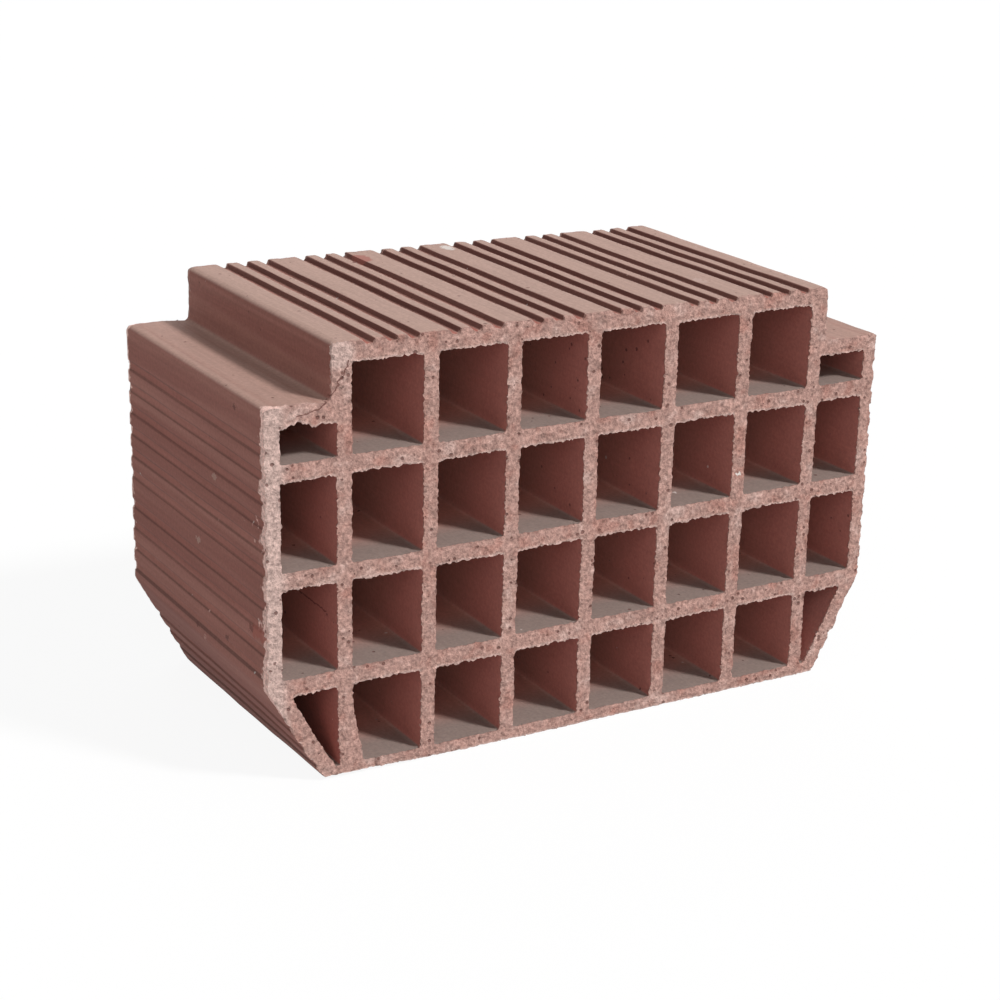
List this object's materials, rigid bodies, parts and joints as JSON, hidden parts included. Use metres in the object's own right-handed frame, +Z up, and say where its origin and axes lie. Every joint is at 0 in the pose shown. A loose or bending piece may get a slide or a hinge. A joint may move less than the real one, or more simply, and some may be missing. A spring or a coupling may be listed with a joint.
{
  "type": "hollow clay floor block",
  "caption": "Extruded fired-clay hollow floor block with stepped shoulders, chamfered foot, keying grooves and open cells through its length.",
  "frame": {"origin": "middle of the block's footprint, on the floor that it stands on", "axes": "+X across the block from shoulder to shoulder, +Y along the extrusion from one cut end to the other, +Z up to the grooved face"},
  "size_m": [0.4, 0.196, 0.248],
  "materials": {
    "fired_clay": "matt fired clay, torn and paler on the two cut ends"
  },
  "bodies": {
    "root": {"clay_block": "fired_clay"}
  },
  "joints": []
}
